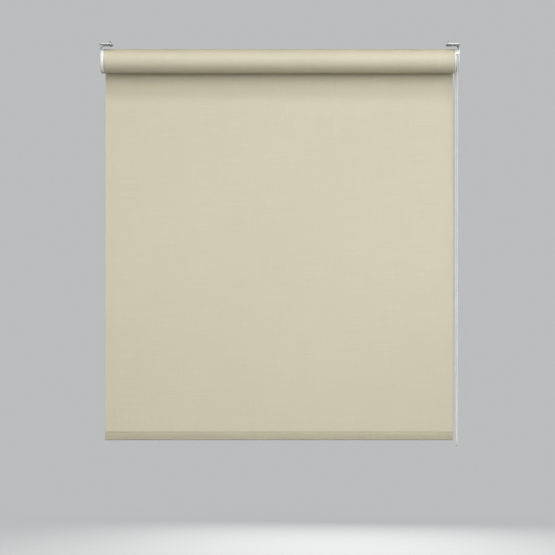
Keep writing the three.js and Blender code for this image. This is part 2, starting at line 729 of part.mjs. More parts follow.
// A cap is a cup over the end of the bar.
function barCap(barEnd, outward) {
  const opening = hemSection(new THREE.Shape(), BAR_HEIGHT + 2 * GAP, BAR_DEPTH + 2 * GAP, 0.9);
  const outline = hemSection(
    new THREE.Shape(), BAR_HEIGHT + 2 * (GAP + CAP_WALL), BAR_DEPTH + 2 * GAP + CAP_WALL, 1.4,
  );
  const endFace = barEnd + outward * (GAP + CAP_END);
  const mouth = endFace - outward * CAP_LENGTH;
  const floor = barEnd + outward * GAP;
  const beyond = mouth - outward;
  const ordered = (a, b) => [a, b].sort((p, q) => p - q);
  return cut(
    solid(extrudedAlongX(outline, ...ordered(mouth, endFace), 3)),
    extrudedAlongX(opening, ...ordered(beyond, floor), 3),
  );
}

add('bar_cap_left', CREAM_PLASTIC, barCap(barLeft, -1));
add('bar_cap_right', CREAM_PLASTIC, barCap(barRight, 1));

// ---------------------------------------------------------------- origin

const ORIGIN = [(LEFT_PLATE + LEFT_FREE_END) / 2, 0, AXIS_TO_CEILING];
blind.position.set(-ORIGIN[0], -ORIGIN[1], -ORIGIN[2]);

const model = new THREE.Group();
model.add(blind);

export default model;
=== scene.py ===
import math
import random

import bmesh
import bpy
import numpy as np
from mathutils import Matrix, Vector


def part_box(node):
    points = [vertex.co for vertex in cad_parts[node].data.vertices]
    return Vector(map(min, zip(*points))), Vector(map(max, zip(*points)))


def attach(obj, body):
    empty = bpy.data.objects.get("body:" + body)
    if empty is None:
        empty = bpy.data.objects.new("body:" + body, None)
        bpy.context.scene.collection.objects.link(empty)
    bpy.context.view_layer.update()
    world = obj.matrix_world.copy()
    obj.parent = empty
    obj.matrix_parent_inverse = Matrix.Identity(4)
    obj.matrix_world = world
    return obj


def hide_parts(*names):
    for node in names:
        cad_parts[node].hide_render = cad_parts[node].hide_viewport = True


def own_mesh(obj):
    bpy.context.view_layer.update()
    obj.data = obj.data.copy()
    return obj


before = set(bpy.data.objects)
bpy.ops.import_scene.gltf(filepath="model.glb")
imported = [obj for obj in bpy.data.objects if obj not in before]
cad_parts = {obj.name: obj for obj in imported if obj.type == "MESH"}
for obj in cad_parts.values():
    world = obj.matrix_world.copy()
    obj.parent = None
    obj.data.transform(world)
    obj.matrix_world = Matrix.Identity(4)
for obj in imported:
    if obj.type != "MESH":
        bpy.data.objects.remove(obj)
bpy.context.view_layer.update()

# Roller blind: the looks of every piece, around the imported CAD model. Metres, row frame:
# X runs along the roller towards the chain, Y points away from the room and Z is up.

random.seed(7)
MM = 0.001

# ------------------------------------------------------------------ places, from the CAD

roll_low, roll_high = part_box("fabric_roll")
sheet_low, sheet_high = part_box("fabric_sheet")
hem_low, hem_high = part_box("hem_pocket")
cover_low, cover_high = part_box("left_end_cover")
inner_low, inner_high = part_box("chain_guard_inner")
outer_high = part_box("chain_guard_outer")[1]
sprocket_low, sprocket_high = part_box("chain_sprocket")
bush_low, bush_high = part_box("pin_bush")

AXIS = Vector((0, (roll_low.y + roll_high.y) / 2, (roll_low.z + roll_high.z) / 2))
ROLL_RADIUS = (roll_high.z - roll_low.z) / 2
SHEET_Y = (sheet_low.y + sheet_high.y) / 2
SHEET_WIDTH = sheet_high.x - sheet_low.x
MIDDLE_X = (sheet_low.x + sheet_high.x) / 2
HEM_TOP = hem_high.z
HEM_BOTTOM = hem_low.z
CHAIN_X = (sprocket_low.x + sprocket_high.x) / 2

# ------------------------------------------------------------------ camera, light and floor

CAMERA_DISTANCE = 5.944
CAMERA_X = 0.5115
CAMERA_Z = -0.711
FRAME_WIDTH = 1.6428                  # what the image's width spans at the roller's axis
FRAME_SHIFT = (-0.0036, 0.0135)       # as shares of that width
SENSOR = 36                           # width of the camera's sensor, in mm
FLOOR_Z = -1.75                       # the blind hangs well clear of the floor
FLOOR_RADIUS = 3.6
FADE_START, FADE_END = 0.3, 0.97      # where it fades into the backdrop, of its radius
FLOOR_TONE = 0.42                     # albedo of the floor under the object
FLOOR_WASH = 0.7                      # how far it is lifted towards the backdrop's tone
WORLD_TINT = (0.95, 0.965, 1)
WORLD_AROUND = 0.08                   # strength of the room's light from the sides
WORLD_OVERHEAD = 0.04                 # and from above and below
WORLD_STEEP = 0.8                     # reached where a direction of length one rises this far
WORLD_IN_REFLECTIONS = 0.3            # more that shiny pieces mirror
BACKDROP = (0.5, 0.505, 0.51)         # what the camera sees past the floor


def make_camera():
    """A level camera in front of the blind, framed by its lens and its shift."""
    data = bpy.data.cameras.new("camera")
    data.sensor_width = SENSOR
    data.lens = SENSOR * CAMERA_DISTANCE / FRAME_WIDTH
    data.shift_x, data.shift_y = FRAME_SHIFT
    data.clip_end = 200
    camera = bpy.data.objects.new("camera", data)
    camera.location = (CAMERA_X, AXIS.y - CAMERA_DISTANCE, CAMERA_Z)
    camera.rotation_euler = (math.pi / 2, 0, 0)
    bpy.context.scene.collection.objects.link(camera)
    bpy.context.scene.camera = camera


def area_light(name, place, target, size, power, spread=180, mirrored=True):
    """A rectangular light at place, turned to target; the spread is in degrees."""
    data = bpy.data.lights.new(name, "AREA")
    data.shape = "RECTANGLE"
    data.size, data.size_y = size
    data.energy = power
    data.spread = math.radians(spread)
    light = bpy.data.objects.new(name, data)
    light.location = place
    direction = Vector(target) - Vector(place)
    light.rotation_euler = direction.to_track_quat("-Z", "Y").to_euler()
    light.visible_camera = False
    light.visible_glossy = mirrored
    bpy.context.scene.collection.objects.link(light)


def make_studio():
    """A dim room, a plain backdrop for the camera, and soft lights around the blind."""
    scene = bpy.context.scene
    scene.view_settings.view_transform = "Standard"
    world = bpy.data.worlds.new("studio")
    world.use_nodes = True
    tree = world.node_tree
    link = tree.links.new
    glow = tree.nodes["Background"]
    glow.inputs["Color"].default_value = (*WORLD_TINT, 1)
    direction = tree.nodes.new("ShaderNodeTexCoord")
    split = tree.nodes.new("ShaderNodeSeparateXYZ")
    steep = tree.nodes.new("ShaderNodeMath")
    steep.operation = "ABSOLUTE"
    fade = tree.nodes.new("ShaderNodeMapRange")
    fade.inputs["From Max"].default_value = WORLD_STEEP
    fade.inputs["To Min"].default_value = WORLD_AROUND
    fade.inputs["To Max"].default_value = WORLD_OVERHEAD
    link(direction.outputs["Generated"], split.inputs[0])
    link(split.outputs["Z"], steep.inputs[0])
    link(steep.outputs[0], fade.inputs["Value"])
    mirrored = tree.nodes.new("ShaderNodeMath")
    mirrored.operation = "MULTIPLY_ADD"
    mirrored.inputs[1].default_value = WORLD_IN_REFLECTIONS
    ray = tree.nodes.new("ShaderNodeLightPath")
    link(ray.outputs["Is Glossy Ray"], mirrored.inputs[0])
    link(fade.outputs[0], mirrored.inputs[2])
    link(mirrored.outputs[0], glow.inputs["Strength"])
    backdrop = tree.nodes.new("ShaderNodeBackground")
    backdrop.inputs["Color"].default_value = (*BACKDROP, 1)
    choice = tree.nodes.new("ShaderNodeMixShader")
    link(ray.outputs["Is Camera Ray"], choice.inputs[0])
    link(glow.outputs[0], choice.inputs[1])
    link(backdrop.outputs[0], choice.inputs[2])
    link(choice.outputs[0], tree.nodes["World Output"].inputs[0])
    scene.world = world
    low_middle = (MIDDLE_X, 0, -0.5)
    area_light("key", (MIDDLE_X + 0.55, -3.3, 0.9), (MIDDLE_X, 0, -0.1), (1.9, 2.9), power=92)
    area_light("overhead", (MIDDLE_X, -1.7, 1.6), (MIDDLE_X, 0, -1.05), (2.4, 1), power=4.8,
               spread=38)
    area_light("left", (MIDDLE_X - 2.5, -1.1, 0.2), low_middle, (0.8, 1.4), power=7)
    area_light("right", (MIDDLE_X + 2.5, -1.1, 0.2), low_middle, (0.8, 1.4), power=7)
    area_light("back", (MIDDLE_X + 0.3, 2.9, -0.6), low_middle, (1.8, 1.5), power=80,
               mirrored=False)


def make_floor():
    """A pale disc that fades into the backdrop's tone towards its edge."""
    bpy.ops.mesh.primitive_circle_add(
        vertices=128, radius=FLOOR_RADIUS, fill_type="NGON", location=(MIDDLE_X, 0, FLOOR_Z),
    )
    floor = bpy.context.object
    floor.name = "floor"
    pale = bpy.data.materials.new("pale_floor")
    pale.use_nodes = True
    tree = pale.node_tree
    link = tree.links.new
    shader = tree.nodes["Principled BSDF"]
    shader.inputs["Roughness"].default_value = 0.9
    shader.inputs["Specular IOR Level"].default_value = 0
    shader.inputs["Emission Color"].default_value = (*BACKDROP, 1)
    place = tree.nodes.new("ShaderNodeTexCoord")
    distance = tree.nodes.new("ShaderNodeVectorMath")
    distance.operation = "LENGTH"
    link(place.outputs["Object"], distance.inputs[0])

    def faded(near, far):
        """A value that goes from near at the floor's middle to far at its edge."""
        fade = tree.nodes.new("ShaderNodeMapRange")
        fade.interpolation_type = "SMOOTHSTEP"
        numbers = (FLOOR_RADIUS * FADE_START, FLOOR_RADIUS * FADE_END, near, far)
        for socket, number in zip(list(fade.inputs)[1:5], numbers):
            socket.default_value = number
        link(distance.outputs["Value"], fade.inputs["Value"])
        return fade.outputs[0]

    grey = tree.nodes.new("ShaderNodeCombineColor")
    tone = faded(FLOOR_TONE, 0)
    for socket in grey.inputs:
        link(tone, socket)
    link(grey.outputs[0], shader.inputs["Base Color"])
    seen = tree.nodes.new("ShaderNodeLightPath")
    wash = tree.nodes.new("ShaderNodeMath")
    wash.operation = "MULTIPLY"
    link(seen.outputs["Is Camera Ray"], wash.inputs[0])
    link(faded(FLOOR_WASH, 1), wash.inputs[1])
    link(wash.outputs[0], shader.inputs["Emission Strength"])
    floor.data.materials.append(pale)


make_camera()
make_studio()
make_floor()

# ------------------------------------------------------------------ shader nodes

NOISE_ROUGHNESS = 0.55


class Look:
    """One material: a Principled shader, and short ways to add the nodes that drive it."""

    def __init__(self, name, **values):
        self.material = bpy.data.materials.new(name)
        self.material.use_nodes = True
        self.tree = self.material.node_tree
        self.shader = self.tree.nodes["Principled BSDF"]
        for key, value in values.items():
            self.shader.inputs[key.replace("_", " ").title()].default_value = value

    def set(self, socket, value):
        """Sets one of the shader's inputs to a plain value."""
        self.shader.inputs[socket].default_value = value

    def node(self, kind, **settings):
        """A new node of a kind, with its settings."""
        made = self.tree.nodes.new("ShaderNode" + kind)
        for key, value in settings.items():
            setattr(made, key, value)
        return made

    def feed(self, socket, value):
        """Links another node's output to a socket, or sets the socket to a plain value."""
        if isinstance(value, bpy.types.NodeSocket):
            self.tree.links.new(value, socket)
        else:
            socket.default_value = value

    def where(self, uses_uv=False, scale=(1, 1, 1)):
        """Coordinates in metres, each axis multiplied by its scale."""
        source = self.node("TexCoord").outputs["UV" if uses_uv else "Object"]
        mapping = self.node("Mapping")
        mapping.inputs["Scale"].default_value = scale
        self.tree.links.new(source, mapping.inputs["Vector"])
        return mapping.outputs["Vector"]

    def noise(self, place, scale=1, detail=3):
        """Soft noise around 0.5 at a place."""
        texture = self.node("TexNoise")
        self.feed(texture.inputs["Vector"], place)
        texture.inputs["Scale"].default_value = scale
        texture.inputs["Detail"].default_value = detail
        texture.inputs["Roughness"].default_value = NOISE_ROUGHNESS
        return texture.outputs["Fac"]

    def math(self, operation, a, b=0.0, c=0.0):
        made = self.node("Math", operation=operation)
        for socket, value in zip(made.inputs, (a, b, c)):
            self.feed(socket, value)
        return made.outputs[0]

    def between(self, value, low, high, from_low=0.0, from_high=1.0):
        """Maps value from one range to another, held at its ends."""
        made = self.node("MapRange", clamp=True)
        for socket, number in zip(made.inputs, (value, from_low, from_high, low, high)):
            self.feed(socket, number)
        return made.outputs[0]

    def blend(self, share, first, second, mode="MIX"):
        """The second colour laid over the first, as much of it as share says."""
        made = self.node("Mix", data_type="RGBA", blend_type=mode)
        self.feed(made.inputs["Factor"], share)
        self.feed(made.inputs[6], first)
        self.feed(made.inputs[7], second)
        return made.outputs[2]

    def shade(self, color, amount):
        """color made darker or lighter by a factor that comes from a node."""
        grey = self.node("CombineColor")
        for socket in grey.inputs:
            self.feed(socket, amount)
        return self.blend(1.0, color, grey.outputs[0], mode="MULTIPLY")

    def color(self, value):
        self.feed(self.shader.inputs["Base Color"], value)

    def roughness(self, value):
        self.feed(self.shader.inputs["Roughness"], value)

    def bump(self, height, distance, strength):
        """Adds a relief on top of the ones that the shader has already."""
        made = self.node("Bump")
        made.inputs["Strength"].default_value = strength
        made.inputs["Distance"].default_value = distance
        previous = self.shader.inputs["Normal"].links
        if previous:
            self.tree.links.new(previous[0].from_socket, made.inputs["Normal"])
        self.feed(made.inputs["Height"], height)
        self.tree.links.new(made.outputs[0], self.shader.inputs["Normal"])


def rgb(red, green, blue):
    """A linear colour from the usual 0 to 255 numbers."""
    parts = [value / 255 for value in (red, green, blue)]
    return [((p + 0.055) / 1.055) ** 2.4 if p > 0.04045 else p / 12.92 for p in parts] + [1]


# ------------------------------------------------------------------ materials

THREAD_PITCH = 0.56 * MM


def woven(name, thread, gap):
    """Plain-woven blind cloth: crossing threads, slubs, broad tone changes. Needs UVs in metres."""
    look = Look(name, roughness=0.8, sheen_weight=0.03, sheen_roughness=0.4)
    look.set("Specular IOR Level", 0.4)
    place = look.where(uses_uv=True)
    split = look.node("SeparateXYZ")
    look.feed(split.inputs[0], place)

    def crown(coordinate):
        """The rounded tops of threads that lie side by side."""
        wave = look.math("SINE", look.math("MULTIPLY", coordinate, math.pi / THREAD_PITCH))
        return look.math("POWER", look.math("ABSOLUTE", wave), 0.6)

    warp, weft = crown(split.outputs[0]), crown(split.outputs[1])
    checker = look.node("TexChecker")
    look.feed(checker.inputs["Vector"], place)
    checker.inputs["Scale"].default_value = 1 / THREAD_PITCH
    over = checker.outputs["Fac"]
    lower = look.math("MULTIPLY", look.math("MULTIPLY", warp, weft), 0.35)
    top = look.math("ADD", look.math("MULTIPLY", over, warp),
                    look.math("MULTIPLY", look.math("SUBTRACT", 1.0, over), weft))
    height = look.math("ADD", look.math("MULTIPLY", top, 0.75), lower)

    along = look.noise(look.where(True, (9, 1300, 1)), detail=2)
    across = look.noise(look.where(True, (1500, 7, 1)), detail=2)
    slub = look.math("ADD", look.between(along, -0.045, 0.045, 0.3, 0.7),
                     look.between(across, -0.03, 0.03, 0.3, 0.7))
    broad = look.between(look.noise(look.where(True, (2.1, 2.6, 1)), detail=2), -0.012, 0.012,
                         0.3, 0.7)
    tone = look.math("ADD", look.math("ADD", slub, broad), 1.0)
    color = look.blend(look.between(height, 0, 1, 0.05, 0.75), gap, thread)
    look.color(look.shade(color, tone))
    look.roughness(look.between(height, 0.7, 0.52))
    look.bump(look.noise(look.where(True, (160, 190, 1)), detail=3), 0.03 * MM, 0.4)
    look.bump(height, 0.06 * MM, 0.55)
    return look.material


def moulded(name, color, rough, grain=0.02, warm=0.97):
    """Injection-moulded plastic: faint flow marks, fine grain, handled edges."""
    look = Look(name)
    look.set("Specular IOR Level", 0.45)
    flow = look.noise(look.where(scale=(90, 34, 34)), detail=4)
    speck = look.noise(look.where(), scale=900, detail=2)
    edge = look.between(look.node("NewGeometry").outputs["Pointiness"], 0, 1, 0.5, 0.62)
    tinted = [color[0], color[1] * (warm + 1) / 2, color[2] * warm, 1]
    base = look.blend(look.between(flow, 0, 0.8, 0.35, 0.7), color, tinted)
    worn = look.blend(look.math("MULTIPLY", edge, 0.35), base, [c * 0.8 + 0.2 for c in color])
    look.color(look.shade(worn, look.between(speck, 0.975, 1.015, 0.3, 0.7)))
    look.roughness(look.between(flow, rough - 0.07, rough + 0.1, 0.3, 0.7))
    look.bump(look.noise(look.where(), scale=2600, detail=3), grain * MM, 0.35)
    look.bump(look.noise(look.where(), scale=60, detail=2), 0.08 * MM, 0.18)
    return look.material


def plated(name, color, dark, rough, spangle=170, metal=0.85):
    """Zinc-plated steel: soft crystal patches and rolling lines."""
    look = Look(name, metallic=metal)
    cells = look.node("TexVoronoi", feature="F1")
    look.feed(cells.inputs["Vector"], look.where())
    cells.inputs["Scale"].default_value = spangle
    patch = look.node("SeparateColor")
    look.feed(patch.inputs[0], cells.outputs["Color"])
    lines = look.noise(look.where(scale=(2400, 18, 60)), detail=3)
    cloud = look.noise(look.where(), scale=38, detail=4)
    mix = look.math("MULTIPLY_ADD", patch.outputs[0], 0.35, look.math("MULTIPLY", cloud, 0.65))
    base = look.blend(look.between(mix, 0, 1, 0.2, 0.75), dark, color)
    look.color(look.shade(base, look.between(lines, 0.94, 1.04, 0.3, 0.7)))
    look.roughness(look.between(mix, rough - 0.06, rough + 0.14, 0.2, 0.8))
    look.bump(lines, 0.008 * MM, 0.4)
    look.bump(look.noise(look.where(), scale=420, detail=3), 0.02 * MM, 0.3)
    return look.material


def drawn(name, color, rough, direction):
    """Metal with fine lines along the way it was drawn or extruded."""
    look = Look(name, metallic=1.0)
    lines = look.noise(look.where(scale=direction), detail=4)
    cloud = look.noise(look.where(), scale=70, detail=3)
    look.color(look.shade(color, look.between(lines, 0.88, 1.06, 0.3, 0.7)))
    look.roughness(look.between(cloud, rough - 0.05, rough + 0.09, 0.3, 0.7))
    look.bump(lines, 0.01 * MM, 0.6)
    return look.material


def taped(name):
    """Double-sided tape: a pale film with tiny trapped bubbles."""
    look = Look(name)
    bubbles = look.noise(look.where(), scale=700, detail=1)
    film = look.blend(look.between(bubbles, 0, 1, 0.55, 0.7), rgb(226, 219, 196),
                      rgb(242, 238, 222))
    look.color(film)
    look.roughness(look.between(bubbles, 0.3, 0.55, 0.4, 0.6))
    look.bump(bubbles, 0.02 * MM, 0.5)
    return look.material


def spun(name, color, twist):
    """Sewing thread or chain string: twisted strands."""
    look = Look(name, sheen_weight=0.3, sheen_roughness=0.5)
    wave = look.node("TexWave", wave_type="BANDS", bands_direction="DIAGONAL")
    look.feed(wave.inputs["Vector"], look.where())
    wave.inputs["Scale"].default_value = twist
    wave.inputs["Distortion"].default_value = 0.6
    strands = wave.outputs["Fac"]
    look.color(look.shade(color, look.between(strands, 0.82, 1.05)))
    look.roughness(look.between(strands, 0.85, 0.7))
    look.bump(strands, 0.05 * MM, 0.5)
    return look.material


CLOTH = woven("cream_weave", rgb(214, 207, 183), rgb(188, 179, 150))
# The hem's doubled cloth, painted shade: darker than the single cloth, as the doubled cloth and the
# bar let less light through from behind.
HEM_DOUBLED_PAINTED_SHADE = woven("cream_weave_doubled_painted_shade", rgb(190, 183, 160), rgb(163, 155, 129))
# A darker copy of the cloth: painted shade for the band where the cloth folds over the bar.
PAINTED_FOLD_SHADE_CLOTH = woven("cream_weave_painted_fold_shade", rgb(176, 169, 147), rgb(150, 142, 118))
WHITE = moulded("white_moulding", rgb(248, 248, 246), 0.3)
BEAD = moulded("bead_moulding", rgb(246, 246, 244), 0.24, grain=0.01)
CREAM = moulded("cream_moulding", rgb(196, 189, 163), 0.42)
GREY = moulded("grey_moulding", rgb(143, 146, 148), 0.45, grain=0.03, warm=0.99)
ZINC = plated("zinc_plate", rgb(214, 215, 216), rgb(184, 186, 188), 0.42, metal=0.7)
SCREW_STEEL = plated("screw_plate", rgb(214, 214, 210), rgb(170, 170, 164), 0.26, 420)
ALUMINIUM = drawn("extruded_aluminium", rgb(203, 205, 207), 0.34, (14, 900, 900))
SPRING = drawn("spring_wire", rgb(122, 124, 128), 0.32, (1400, 300, 300))
TAPE = taped("clear_tape")
THREAD = spun("sewing_thread", rgb(220, 213, 190), 1500)
STRING = spun("chain_string", rgb(208, 208, 206), 1100)

CAD_LOOKS = {
    "idle_plug": GREY, "tube_crown": GREY, "drive_hub": GREY, "clutch_core": GREY,
    "pin_bearing": GREY, "spring_cap": GREY, "chain_sprocket": GREY,
    "retaining_clip": SPRING, "wrap_spring_inner": SPRING, "wrap_spring_outer": SPRING,
    "roller_tube": ALUMINIUM, "bottom_bar": ALUMINIUM, "fabric_tape": TAPE,
}


def dress(node, material):
    """Gives a CAD node one of the looks above."""
    for mesh_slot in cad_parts[node].material_slots:
        mesh_slot.link = "OBJECT"
        mesh_slot.material = material


for cad_name, cad_look in CAD_LOOKS.items():
    dress(cad_name, cad_look)

# ------------------------------------------------------------------ mesh helpers


def smooth(mesh, sharp):
    """Smooth shading, apart from edges that turn by more than so many degrees."""
    mesh.shade_smooth()
    mesh.set_sharp_from_angle(angle=math.radians(sharp))


def mesh_piece(name, points, faces, materials, uvs=None, sharp=35, face_looks=None):
    """A mesh object. uvs holds one (u, v) for each corner of each face, in metres."""
    mesh = bpy.data.meshes.new(name)
    mesh.from_pydata([tuple(p) for p in points], [], faces)
    for material in materials:
        mesh.materials.append(material)
    if face_looks is not None:
        mesh.polygons.foreach_set("material_index", face_looks)
    if uvs is not None:
        layer = mesh.uv_layers.new(name="metres")
        layer.data.foreach_set("uv", np.asarray(uvs, np.float32).ravel())
    mesh.update()
    smooth(mesh, sharp)
    piece = bpy.data.objects.new(name, mesh)
    bpy.context.scene.collection.objects.link(piece)
    return piece


def outward(piece):
    """Turns every face of a closed mesh to face out."""
    shape = bmesh.new()
    shape.from_mesh(piece.data)
    bmesh.ops.recalc_face_normals(shape, faces=shape.faces)
    shape.to_mesh(piece.data)
    shape.free()
    return piece


def place_piece(piece, body, slot, *nodes):
    """Puts a piece on its body and hides the CAD nodes it stands for; slot is not used."""
    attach(piece, body)
    if nodes:
        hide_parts(*nodes)
    return piece


def rounded(outline, radius, steps=3):
    """A closed outline with each corner turned into a small curve."""
    result = []
    count = len(outline)
    for i, corner in enumerate(outline):
        here = Vector(corner)
        before = Vector(outline[i - 1]) - here
        after = Vector(outline[(i + 1) % count]) - here
        reach = min(radius, before.length * 0.45, after.length * 0.45)
        start = here + before.normalized() * reach
        end = here + after.normalized() * reach
        for step in range(steps + 1):
            t = step / steps
            result.append(start * (1 - t) ** 2 + here * 2 * t * (1 - t) + end * t ** 2)
    return result


def lathed(name, outline, material, segments=96, start=0.0, sweep=2 * math.pi, soft=0.3 * MM):
    """Turns a closed outline of (x, radius) about the roller's axis; caps a part turn."""
    ring = rounded(outline, soft)
    full = sweep > 2 * math.pi - 1e-6
    slices = segments if full else segments + 1
    points, faces = [], []
    for i in range(slices):
        angle = start + sweep * i / segments
        for x, radius in ring:
            points.append((x, AXIS.y + radius * math.cos(angle), AXIS.z + radius * math.sin(angle)))
    size = len(ring)
    for i in range(segments):
        j = (i + 1) % slices
        for k in range(size):
            m = (k + 1) % size
            faces.append((i * size + k, j * size + k, j * size + m, i * size + m))
    if not full:
        faces.append(tuple(range(size)))
        faces.append(tuple(reversed(range(segments * size, (segments + 1) * size))))
    return outward(mesh_piece(name, points, faces, [material]))


def joined(name, pieces):
    """One object out of several."""
    bpy.ops.object.select_all(action="DESELECT")
    for piece in pieces:
        piece.select_set(True)
    bpy.context.view_layer.objects.active = pieces[0]
    bpy.ops.object.join()
    pieces[0].name = name
    pieces[0].data.name = name
    return pieces[0]


def applied(piece):
    """Applies the piece's modifiers."""
    bpy.context.view_layer.update()
    done = piece.evaluated_get(bpy.context.evaluated_depsgraph_get())
    piece.data = bpy.data.meshes.new_from_object(done)
    piece.modifiers.clear()
    return piece


def softened(name, node, material, width):
    """A copy of a CAD node's shape with its edges broken, as pressed or moulded parts have them."""
    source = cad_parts[node]
    shape = bmesh.new()
    shape.from_mesh(source.data)
    bmesh.ops.remove_doubles(shape, verts=shape.verts, dist=0.01 * MM)
    bmesh.ops.dissolve_limit(
        shape, angle_limit=math.radians(1), verts=shape.verts, edges=shape.edges,
    )
    mesh = bpy.data.meshes.new(name)
    shape.to_mesh(mesh)
    shape.free()
    mesh.materials.append(material)
    for polygon in mesh.polygons:
        polygon.material_index = 0
    piece = bpy.data.objects.new(name, mesh)
    bpy.context.scene.collection.objects.link(piece)
    bevel = piece.modifiers.new("edges", "BEVEL")
    bevel.width = width
    bevel.segments = 2
    bevel.limit_method = "ANGLE"
    bevel.angle_limit = math.radians(30)
    applied(piece)
    smooth(piece.data, 40)
    return piece


def distances(line, start=0.0):
    """How far along a line each of its points lies."""
    found = [start]
    for a, b in zip(line, line[1:]):
        found.append(found[-1] + (Vector(b) - Vector(a)).length)
    return found


def spokes(sides):
    """The cosine and the sine of every direction around a circle."""
    angles = [2 * math.pi * side / sides for side in range(sides)]
    return [(math.cos(angle), math.sin(angle)) for angle in angles]


def skin(faces, base, rows, sides):
    """Adds the faces of a capped tube, whose points from base on lie in rows; returns how many."""
    before = len(faces)
    for row in range(rows - 1):
        a, b = base + row * sides, base + (row + 1) * sides
        for s in range(sides):
            n = (s + 1) % sides
            faces.append((a + s, a + n, b + n, b + s))
    last = base + (rows - 1) * sides
    faces.append(tuple(reversed(range(base, base + sides))))
    faces.append(tuple(range(last, last + sides)))
    return len(faces) - before


def swept(points, faces, uvs, outline, marks, x0, x1, columns):
    """Adds a closed (y, z) outline swept along X. marks are its points' v, and one to close it."""
    base, size = len(points), len(outline)
    places = [x0 + (x1 - x0) * column / columns for column in range(columns + 1)]
    for x in places:
        points.extend((x, p[0], p[1]) for p in outline)
    for column in range(columns):
        u0, u1 = places[column], places[column + 1]
        a, b = base + column * size, base + (column + 1) * size
        for k in range(size):
            m = (k + 1) % size
            faces.append((a + k, b + k, b + m, a + m))
            v0, v1 = marks[k], marks[k + 1]
            uvs.extend([(u0, v0), (u1, v0), (u1, v1), (u0, v1)])


# ------------------------------------------------------------------ bead chain

BEAD_PITCH = 6 * MM
BEAD_RADIUS = 2.25 * MM
BEAD_ROWS = (-0.97, -0.86, -0.6, -0.22, 0, 0.22, 0.6, 0.86, 0.97)  # as shares of the radius
BEAD_SIDES = 12
PARTING_LINE = 1.012                  # how much wider the bead is where its mould's halves met
STRING_RADIUS = 0.42 * MM
POCKETS = 32                          # beads that go around the sprocket
PITCH_RADIUS = POCKETS * BEAD_PITCH / (2 * math.pi)

# The front half of the free loop, in mm: distance in front of the axis, and height above it.
CHAIN_RUN = [
    (30.558, 0), (30.5, -13), (29.5, -237), (27.8, -497), (24.3, -817),
    (21.0, -977), (17.7, -1057), (14.6, -1097), (12.1, -1115.15),
    (9.5, -1127.5), (8.78, -1131.1), (6.72, -1134.2), (3.64, -1136.3),
]
CHAIN_BOTTOM = (0, -1137)


def centripetal(points, spacing):
    """A smooth line through the points, as points that are about spacing apart."""
    points = [Vector(p) for p in points]
    ends = [points[0] * 2 - points[1], *points, points[-1] * 2 - points[-2]]
    line = [points[0]]
    for i in range(1, len(ends) - 2):
        p = ends[i - 1:i + 3]
        knots = [0.0]
        for a, b in zip(p, p[1:]):
            knots.append(knots[-1] + math.sqrt((b - a).length))
        steps = max(2, round((p[2] - p[1]).length / spacing))
        for step in range(1, steps + 1):
            t = knots[1] + (knots[2] - knots[1]) * step / steps
            line.append(barry_goldman(p, knots, t))
    return line


def between_knots(first, second, low, high, t):
    """The point that goes from first at low to second at high."""
    return first * ((high - t) / (high - low)) + second * ((t - low) / (high - low))


def barry_goldman(p, knots, t):
    """The point at t of the curve through four points: neighbours are blended three times."""
    once = [between_knots(p[i], p[i + 1], knots[i], knots[i + 1], t) for i in range(3)]
    twice = [between_knots(once[i], once[i + 1], knots[i], knots[i + 2], t) for i in range(2)]
    return between_knots(twice[0], twice[1], knots[1], knots[2], t)


def walk(line, spacing):
    """Points every spacing along a line of points, with the line's direction at each."""
    found = []
    travelled, due = 0.0, 0.0
    for a, b in zip(line, line[1:]):
        step = (b - a).length
        while due <= travelled + step + 1e-9:
            found.append((a.lerp(b, (due - travelled) / step), (b - a).normalized()))
            due += spacing
        travelled += step
    return found


def bead(points, faces, looks, middle, along):
    """A moulded bead with a parting line, and flat where the string goes in."""
    across = Vector((1, 0, 0))
    third = along.cross(across).normalized()
    base = len(points)
    for row in BEAD_ROWS:
        radius = BEAD_RADIUS * math.sqrt(1 - row * row)
        if row == 0:
            radius *= PARTING_LINE
        for cosine, sine in spokes(BEAD_SIDES):
            spoke = across * cosine + third * sine
            points.append(middle + along * (row * BEAD_RADIUS) + spoke * radius)
    looks.extend([0] * skin(faces, base, len(BEAD_ROWS), BEAD_SIDES))


def strand(points, faces, looks, line, radius, sides, look):
    """A round tube along a line of points that never runs along X for long; capped."""
    base = len(points)
    across = Vector((1, 0, 0))
    for i, here in enumerate(line):
        before, after = line[max(0, i - 1)], line[min(len(line) - 1, i + 1)]
        along = (after - before).normalized()
        third = along.cross(across).normalized()
        second = third.cross(along)
        for cosine, sine in spokes(sides):
            points.append(here + (second * cosine + third * sine) * radius)
    looks.extend([look] * skin(faces, base, len(line), sides))


def beaded(name, line, count, first, last):
    """Beads first to last of a line that is count steps long, and the string through them."""
    length = distances(line)[-1]
    points, faces, looks = [], [], []
    for middle, along in walk(line, length / count)[first:last + 1]:
        bead(points, faces, looks, middle, along)
    strand(points, faces, looks, line, STRING_RADIUS, 6, 1)
    return mesh_piece(name, points, faces, [BEAD, STRING], face_looks=looks, sharp=60), length


def on_chain(forward, height):
    """A place in the chain's plane: mm in front of the roller's axis, and above it."""
    return Vector((CHAIN_X, AXIS.y - forward * MM, AXIS.z + height * MM))


front_half = [on_chain(*pair) for pair in CHAIN_RUN]
back_half = [on_chain(-forward, height) for forward, height in reversed(CHAIN_RUN)]
loop_line = centripetal([*front_half, on_chain(*CHAIN_BOTTOM), *back_half], 3 * MM)
loop_count = round(distances(loop_line)[-1] / BEAD_PITCH)
chain, chain_length = beaded("bead_chain", loop_line, loop_count, 0, loop_count)
place_piece(chain, "frame", "white_plastic",
            "chain_front_run", "chain_back_run", "chain_bottom_bend")

